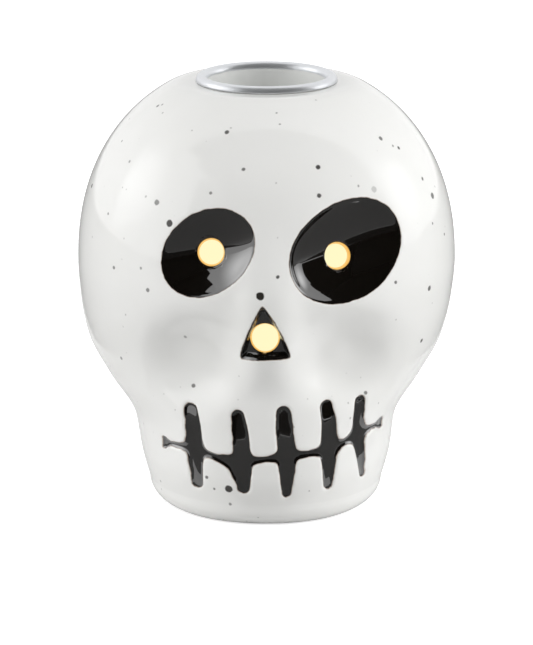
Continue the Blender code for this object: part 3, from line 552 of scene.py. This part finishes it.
# Iron specks seen on the face: sideways place, height, diameter and darkness
specks = (
    (-20.5, 61.2, 1.1, 0.7), (-18.1, 57.8, 1.35, 0.95), (-22.2, 44.9, 0.8, 0.7), (-10.4, 63.9, 0.6, 0.7),
    (-7.4, 74.2, 0.9, 0.9), (-4.3, 68.3, 0.7, 0.8), (9.6, 68.4, 0.9, 0.95), (9.8, 63.5, 0.8, 0.9),
    (20.1, 63.5, 1.2, 0.3), (21.4, 71.6, 0.9, 0.8), (24.8, 69.4, 0.7, 0.9), (31.2, 59.7, 1.2, 0.85),
    (29.3, 63.2, 0.7, 0.8), (30.6, 43.1, 1.0, 0.85), (29.2, 32.7, 0.8, 0.85), (2.1, 49.2, 0.7, 0.9),
    (2.5, 75.6, 0.4, 0.6), (1.9, 77.3, 0.4, 0.6), (-28.6, 47.8, 0.7, 0.7), (-23.5, 48.8, 0.5, 0.6),
    (-29.7, 57.3, 0.5, 0.7), (-25.7, 67.1, 0.6, 0.6), (-27.2, 69.6, 0.5, 0.6), (-27.3, 29.8, 0.7, 0.6),
    (-15.2, 35.9, 0.6, 0.5), (24.2, 45.9, 0.7, 0.8), (33.5, 52.0, 0.6, 0.7), (31.2, 54.9, 0.5, 0.7),
    (-11.2, 9.6, 0.7, 0.8), (-9.8, 7.4, 0.5, 0.8), (-7.1, 7.7, 1.5, 0.95), (-6.8, 4.5, 0.6, 0.7),
    (-1.2, 45.7, 1.5, 1.0), (-19.6, 76.6, 0.5, 0.6), (-19.5, 75.6, 0.4, 0.5), (-20.0, 5.6, 0.5, 0.7),
)


def speckCloud(material, place):
    # how dark a speck is here: the ones noted above, and small ones scattered through the glaze
    bend, soft = 0.25 * mm, 0.1  # how far noise bends a speck's outline, and half its blurred edge
    wander = addNode(material, "ShaderNodeTexNoise", {"Vector": place, "Scale": 1500.0, "Detail": 1.0})
    bent = addNode(
        material, "ShaderNodeVectorMath", {0: wander.outputs["Color"], 1: (bend,) * 3, 2: place},
        operation="MULTIPLY_ADD",
    ).outputs[0]
    dark = None
    for x, z, width, darkness in specks:
        point, _ = facePoint(x, z)
        centre = Vector(point) * mm + Vector((bend / 2,) * 3)
        away = addNode(material, "ShaderNodeVectorMath", {0: bent, 1: centre}, operation="DISTANCE")
        spot = addNode(
            material, "ShaderNodeMapRange",
            {
                "Value": away.outputs["Value"],
                "From Min": (width / 2 - soft) * mm,
                "From Max": (width / 2 + soft) * mm,
                "To Min": darkness,
                "To Max": 0.0,
            },
        ).outputs[0]
        dark = spot if dark is None else addNode(
            material, "ShaderNodeMath", {0: dark, 1: spot}, operation="MAXIMUM"
        ).outputs[0]
    for cell, size, darkness in ((6.5, 0.45, 0.75), (3.2, 0.24, 0.4)):  # spacing and largest radius
        cells = addNode(material, "ShaderNodeTexVoronoi", {"Vector": bent, "Scale": 1 / (cell * mm)})
        chance = addNode(material, "ShaderNodeSeparateColor", {"Color": cells.outputs["Color"]})
        reach = addNode(
            material, "ShaderNodeMath", {0: chance.outputs["Red"], 1: size / cell}, operation="MULTIPLY"
        )
        inside = addNode(
            material, "ShaderNodeMath", {0: reach.outputs[0], 1: cells.outputs["Distance"]},
            operation="SUBTRACT",
        )
        spot = addNode(
            material, "ShaderNodeMapRange",
            {"Value": inside.outputs[0], "From Min": -soft / cell, "From Max": soft / cell, "To Max": darkness},
        ).outputs[0]
        dark = addNode(material, "ShaderNodeMath", {0: dark, 1: spot}, operation="MAXIMUM").outputs[0]
    return dark


def glazedEarthenware():
    # Slip-cast earthenware under a thick white glaze: nearly white and mirror-smooth with a faint swell, with dark
    # iron specks under the surface. Where the glazeEdge attribute is negative it is brushed black overglaze,
    # whose metal oxides mirror more than the white, so a coat with a high index lies there.
    material, shader = newMaterial("glazed earthenware", IOR=1.52, Roughness=0.05, Coat_IOR=2.05)
    place = addNode(material, "ShaderNodeTexCoord").outputs["Object"]
    edge = addNode(material, "ShaderNodeAttribute", attribute_name="glazeEdge").outputs["Fac"]
    waver = addNode(material, "ShaderNodeTexNoise", {"Vector": place, "Scale": 600.0, "Detail": 3.0})
    shift = addNode(
        material, "ShaderNodeMath", {0: waver.outputs["Fac"], 1: 0.36, 2: -0.18}, operation="MULTIPLY_ADD"
    )
    ragged = addNode(material, "ShaderNodeMath", {0: edge, 1: shift.outputs[0]}, operation="ADD").outputs[0]
    black = addNode(
        material, "ShaderNodeMapRange",
        {"Value": ragged, "From Min": 0.02, "From Max": -0.05, "To Min": 0.0, "To Max": 1.0},
    ).outputs[0]
    halo = addNode(
        material, "ShaderNodeMapRange",
        {"Value": ragged, "From Min": 0.16, "From Max": 0.0, "To Min": 0.0, "To Max": 0.75},
    ).outputs[0]
    mottle = addNode(material, "ShaderNodeTexNoise", {"Vector": place, "Scale": 60.0, "Detail": 3.0})
    white = addNode(
        material, "ShaderNodeMix", {0: mottle.outputs["Fac"], 6: fromHex("#ecece9"), 7: fromHex("#f3f3f1")},
        data_type="RGBA",
    ).outputs[2]
    specked = addNode(
        material, "ShaderNodeMix", {0: speckCloud(material, place), 6: white, 7: fromHex("#33302d")},
        data_type="RGBA",
    ).outputs[2]
    browned = addNode(
        material, "ShaderNodeMix", {0: halo, 6: specked, 7: fromHex("#8a6f58")}, data_type="RGBA"
    ).outputs[2]
    colour = addNode(
        material, "ShaderNodeMix", {0: black, 6: browned, 7: fromHex("#0f0c09")}, data_type="RGBA"
    )
    material.node_tree.links.new(colour.outputs[2], shader.inputs["Base Color"])
    material.node_tree.links.new(black, shader.inputs["Coat Weight"])
    swell = addNode(material, "ShaderNodeTexNoise", {"Vector": place, "Scale": 160.0, "Detail": 1.0})
    bump = addNode(
        material, "ShaderNodeBump", {"Height": swell.outputs["Fac"], "Strength": 0.07, "Distance": 0.0005}
    )
    material.node_tree.links.new(bump.outputs[0], shader.inputs["Normal"])
    return material


def paintedGlowClay():
    # Bare clay of the hollow inside, with a painted lamp glow: its own even warm emission stands in for the lamp
    # in the base lighting it
    material, shader = newMaterial("bare clay with painted lamp glow", Roughness=0.8)
    shader.inputs["Base Color"].default_value = fromHex("#1c170f")
    shader.inputs["Emission Color"].default_value = (0.991, 0.92, 0.56, 1.0)
    shader.inputs["Emission Strength"].default_value = 1.0
    return material


def paintedGlowHoleWall():
    # Clay in the drilled bore, with a painted orange glow: its own emission stands in for light that came through
    # the clay from inside and looks orange
    material, shader = newMaterial("drilled clay with painted orange glow", Roughness=0.6)
    shader.inputs["Base Color"].default_value = fromHex("#3a2812")
    shader.inputs["Emission Color"].default_value = (1.0, 0.55, 0.12, 1.0)
    shader.inputs["Emission Strength"].default_value = 0.8
    return material


def bareClay():
    # The foot is wiped clean before firing, so it stays matt and sandy
    material, shader = newMaterial("wiped earthenware foot", Roughness=0.85)
    place = addNode(material, "ShaderNodeTexCoord").outputs["Object"]
    grit = addNode(material, "ShaderNodeTexNoise", {"Vector": place, "Scale": 1800.0, "Detail": 2.0})
    colour = addNode(
        material, "ShaderNodeMix", {0: grit.outputs["Fac"], 6: fromHex("#d8cdbb"), 7: fromHex("#ebe3d6")},
        data_type="RGBA",
    )
    bump = addNode(
        material, "ShaderNodeBump", {"Height": grit.outputs["Fac"], "Strength": 0.4, "Distance": 0.0001}
    )
    material.node_tree.links.new(colour.outputs[2], shader.inputs["Base Color"])
    material.node_tree.links.new(bump.outputs[0], shader.inputs["Normal"])
    return material


def pressedAluminium():
    # Thin pressed sheet: the rolled bead is bright but rubbed, so its reflections are blurred and never black.
    # The rubbing marks are finer than a pixel, and only soften it.
    material, shader = newMaterial("pressed aluminium bead", Metallic=0.78, Roughness=0.36)
    shader.inputs["Base Color"].default_value = fromHex("#dfe1e4")
    place = addNode(material, "ShaderNodeTexCoord").outputs["Object"]
    marks = addNode(material, "ShaderNodeTexNoise", {"Vector": place, "Scale": 2600.0, "Detail": 2.0})
    bump = addNode(
        material, "ShaderNodeBump", {"Height": marks.outputs["Fac"], "Strength": 0.25, "Distance": 0.0001}
    )
    material.node_tree.links.new(bump.outputs[0], shader.inputs["Normal"])
    return material


def plainFinish(name, colour, roughness, metallic=0.0):
    # one even colour and gloss
    material, shader = newMaterial(name, Roughness=roughness, Metallic=metallic)
    shader.inputs["Base Color"].default_value = fromHex(colour)
    return material


finishes = {
    "glaze": glazedEarthenware(),
    # the next two glow by their own emission: painted lamp glow inside the shell and in the bores
    "lit": paintedGlowClay(),
    "hole": paintedGlowHoleWall(),
    "clay": bareClay(),
    "bead": pressedAluminium(),
    # deep-drawn and left dull, so the inside of the cup looks pale grey
    "wall": plainFinish("drawn aluminium wall, matt oxide", "#e9eae8", 0.5, 0.12),
    # moulded in a lightly textured tool: an even satin white
    "abs": plainFinish("moulded white abs", "#e4e3de", 0.4),
    # stamped and barrel-plated: a grey metal with soft reflections
    "steel": plainFinish("nickel-plated steel", "#b9b9b7", 0.28, 1.0),
    # solder resist over woven glass: a glossy green
    "laminate": plainFinish("glass-epoxy laminate", "#1d5a31", 0.35),
    # moulded and slippery: a dull near-black
    "acetal": plainFinish("black acetal", "#17171a", 0.45),
    # cast clear epoxy with a warm phosphor behind it: a glossy cream
    "lens": plainFinish("epoxy lamp lens", "#fff2c4", 0.15),
}
print("finishes made")

# the inside of the shell and the bores of the light holes carry a painted glow
buildSkull([finishes["glaze"], finishes["lit"], finishes["hole"], finishes["clay"]])


cup = {
    "bore": 22.4,
    "sheet": 0.35,
    "depth": 22.0,
    "corner": 1.2,
    "lipWidth": 2.2,
    "lipHeight": 1.26,
    "gap": 0.1,  # between the lip and the crown
    "lipSteps": 18,
    "cornerSteps": 6,
    "turnSteps": 144,
}


def buildCup():
    seat = skull["crownHeight"] + cup["gap"]
    bottom = seat - cup["depth"]
    bore = cup["bore"] / 2
    middle = bore + cup["lipWidth"] / 2

    def lipArc(inset):
        angles = [pi * i / cup["lipSteps"] for i in range(cup["lipSteps"] + 1)]
        across, up = cup["lipWidth"] / 2 - inset, cup["lipHeight"] - inset
        return [(middle + across * cos(angle), seat + up * sin(angle)) for angle in angles]

    def cornerArc(radius, height, corner):
        angles = [pi / 2 * i / cup["cornerSteps"] for i in range(cup["cornerSteps"] + 1)]
        return [
            (radius - corner + corner * cos(angle), height + corner - corner * sin(angle)) for angle in angles
        ]

    inside = cornerArc(bore, bottom + cup["sheet"], cup["corner"])
    outside = cornerArc(bore + cup["sheet"], bottom, cup["corner"] + cup["sheet"])
    profile = [(0, bottom)] + outside[::-1] + lipArc(cup["sheet"])[::-1] + lipArc(0) + inside
    profile += [(0, bottom + cup["sheet"])]
    bm = spun(profile, cup["turnSteps"])
    for polygon in bm.faces:
        polygon.material_index = 0 if polygon.calc_center_median().z > seat * mm else 1
    piece = newPiece("pressed_cup", bm, [finishes["bead"], finishes["wall"]])
    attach(piece, "holder")
    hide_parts("candle_cup")


buildCup()
print("cup built")

# The light unit's solids stay as they are and only get their finish
nodeFinishes = {
    "led_housing": "abs",
    "base_plate": "abs",
    "battery_door": "abs",
    "door_screw": "steel",
    "plate_screw_left": "steel",
    "plate_screw_right": "steel",
    "coin_cell": "steel",
    "cell_contact_lower": "steel",
    "cell_contact_upper": "steel",
    "circuit_board": "laminate",
    "resistor": "acetal",
    "led_lamp": "lens",
    "switch_body": "steel",
    "switch_slider": "acetal",
}
for node, finish in nodeFinishes.items():
    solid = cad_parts[node]
    for slot in solid.material_slots:
        slot.material = finishes[finish]


studio = {
    "distance": 2.0,
    "elevation": 12.5,
    "aimHeight": 0.03256,
    "pixelsPerMm": 5.27,
    "imageWidth": 533,
    "floorSize": 6.0,
    "floorGlow": 0.7,  # what the floor's own light adds to it, for the eye alone
    "floorMirrored": 0.15,  # share of that light in a gloss
    "roomLight": 0.49,
    "lampAim": (0, 0, 0.045),
    # place, width, height and power of each lamp
    "lamps": {
        "left_softbox": ((-1.0, -0.22, 0.22), 0.7, 0.9, 7.0),
        "right_softbox": ((1.0, -0.20, 0.18), 0.5, 0.9, 9.2),
        "front_fill": ((-0.1, -1.1, 1.45), 1.4, 1.0, 13.0),
    },
    # place, what it faces, width, height, sheet, roll, and whether it also shades the room's light
    "cards": {
        "front_card": ((0, -3.0, 1.6), (0, 0, 1.6), 7.6, 3.2, "black", 0, True),
        "ceiling_card": ((0, -1.65, 3.2), (0, -1.65, 0), 6.0, 2.9, "black", 0, True),
        "right_flag": ((1.6, -0.955, 1.1), (0, -0.955, 1.1), 1.59, 2.1, "black", 0, False),
        "far_table_card": ((0, -1.64, 0.002), (0, -1.64, -1), 5.0, 2.72, "black", 0, False),
        "front_table_card": ((0, -0.157, 0.001), (0, -0.157, -1), 5.0, 0.246, "grey", 0, False),
        "left_table_card": ((-1.28, 0.575, 0.001), (-1.28, 0.575, -1), 2.42, 1.25, "grey", 0, False),
        "right_table_card": ((1.28, 0.575, 0.001), (1.28, 0.575, -1), 2.44, 1.25, "grey", 0, False),
        "left_window": ((-1.5, -0.13, 1.0), (0, -0.13, 1.0), 1.75, 1.45, "left", 17, False),
        "right_window": ((1.5, 0.27, 0.5), (0, 0.27, 0.5), 0.84, 1.0, "right", 12, False),
    },
}


def buildCamera():
    # the photograph's frame is 533 pixels wide, so the field of view follows from the pixels in a millimetre
    data = bpy.data.cameras.new("camera")
    data.sensor_fit = "HORIZONTAL"
    fieldWidth = studio["imageWidth"] / studio["pixelsPerMm"] * mm
    data.lens = data.sensor_width * studio["distance"] / fieldWidth
    data.clip_end = 50
    camera = bpy.data.objects.new("camera", data)
    bpy.context.scene.collection.objects.link(camera)
    tilt = radians(studio["elevation"])
    away = studio["distance"] * Vector((0, -cos(tilt), sin(tilt)))
    camera.location = Vector((0, 0, studio["aimHeight"])) + away
    camera.rotation_euler = (pi / 2 - tilt, 0, 0)
    bpy.context.scene.camera = camera


def seenByEye(material, mirrored=1.0):
    # 1 for camera and transmission rays, its mirrored share in a gloss, 0 for light that falls on the object
    path = addNode(material, "ShaderNodeLightPath")
    inGloss = addNode(
        material, "ShaderNodeMath", {0: path.outputs["Is Glossy Ray"], 1: mirrored}, operation="MULTIPLY"
    )
    first = addNode(
        material, "ShaderNodeMath",
        {0: path.outputs["Is Camera Ray"], 1: inGloss.outputs[0]}, operation="MAXIMUM",
    )
    return addNode(
        material, "ShaderNodeMath",
        {0: first.outputs[0], 1: path.outputs["Is Transmission Ray"]}, operation="MAXIMUM",
    ).outputs[0]


def buildFloor():
    bm = bmesh.new()
    bmesh.ops.create_grid(bm, x_segments=1, y_segments=1, size=studio["floorSize"] / 2)
    material, shader = newMaterial("white table", Roughness=0.9)
    shader.inputs["Base Color"].default_value = fromHex("#e2e2e2")
    shader.inputs["Specular IOR Level"].default_value = 0.0
    seen = seenByEye(material, studio["floorMirrored"])
    strength = addNode(material, "ShaderNodeMath", {0: seen, 1: studio["floorGlow"]}, operation="MULTIPLY")
    glow = addNode(material, "ShaderNodeEmission", {"Color": (1, 1, 1, 1), "Strength": strength.outputs[0]})
    both = addNode(material, "ShaderNodeAddShader", {0: shader.outputs[0], 1: glow.outputs[0]})
    output = material.node_tree.nodes["Material Output"]
    material.node_tree.links.new(both.outputs[0], output.inputs["Surface"])
    floor = newPiece("floor", bm, [material])


def buildWorld():
    # white to the eye, and a plain even light on the object
    world = bpy.data.worlds.new("studio")
    bpy.context.scene.world = world
    world.use_nodes = True
    background = world.node_tree.nodes["Background"]
    background.inputs["Color"].default_value = (1, 1, 1, 1)
    strength = addNode(
        world, "ShaderNodeMapRange", {"Value": seenByEye(world), "To Min": studio["roomLight"], "To Max": 1.0}
    )
    world.node_tree.links.new(strength.outputs[0], background.inputs["Strength"])


def addSoftbox(name, place, width, height, power):
    # a lamp that lights the object but stays out of its gloss, where the window cards show instead
    data = bpy.data.lights.new(name, "AREA")
    data.shape = "RECTANGLE"
    data.size, data.size_y = width, height
    data.energy = power
    lamp = bpy.data.objects.new(name, data)
    bpy.context.scene.collection.objects.link(lamp)
    lamp.location = place
    lamp.visible_glossy = False
    away = Vector(place) - Vector(studio["lampAim"])
    lamp.rotation_euler = away.to_track_quat("Z", "Y").to_euler()


def addCard(name, place, aim, width, height, material, roll, shades):
    # a sheet in the room that the camera doesn't see, and that shows as a reflection in the glaze and the metal
    bm = bmesh.new()
    bmesh.ops.create_grid(bm, x_segments=1, y_segments=1, size=0.5)
    bmesh.ops.scale(bm, vec=(width, height, 1), verts=bm.verts)
    turn = (Vector(place) - Vector(aim)).to_track_quat("Z", "Y").to_matrix().to_4x4()
    turn = Matrix.Translation(place) @ turn @ Matrix.Rotation(radians(roll), 4, "Z")
    bmesh.ops.transform(bm, matrix=turn, verts=bm.verts)
    card = newPiece(name, bm, [material])
    card.visible_camera = False
    card.visible_diffuse = shades
    card.visible_shadow = shades
    card.visible_transmission = False


def lampCard(name, at, middle, edge, reach):
    # Lit white cloth, as on the front of a softbox, brightest in the middle
    material = bpy.data.materials.new(name)
    material.use_nodes = True
    place = addNode(material, "ShaderNodeTexCoord").outputs["Object"]
    away = addNode(material, "ShaderNodeVectorMath", {0: place, 1: at}, operation="DISTANCE")
    fall = addNode(
        material, "ShaderNodeMapRange",
        {"Value": away.outputs["Value"], "From Max": reach, "To Min": middle, "To Max": edge},
        interpolation_type="SMOOTHSTEP",
    )
    glow = addNode(material, "ShaderNodeEmission", {"Color": (1, 1, 1, 1), "Strength": fall.outputs[0]})
    output = material.node_tree.nodes["Material Output"]
    material.node_tree.links.new(glow.outputs[0], output.inputs["Surface"])
    return material


buildCamera()
buildFloor()
buildWorld()
for name, lamp in studio["lamps"].items():
    addSoftbox(name, *lamp)
sheets = {
    # matt felt hides the white room and makes dark reflections
    "black": plainFinish("black felt", "#0d0d0d", 1.0),
    "grey": plainFinish("grey felt", "#757575", 1.0),
    "left": lampCard("left softbox front", (-1.5, 0.2, 0.65), 2.6, 1.1, 0.9),
    "right": lampCard("right softbox front", (1.5, 0.3, 0.5), 2.8, 1.0, 0.6),
}
for name, (place, aim, width, height, sheet, roll, shades) in studio["cards"].items():
    addCard(name, place, aim, width, height, sheets[sheet], roll, shades)
bpy.context.scene.view_settings.view_transform = "Standard"
print("studio built")
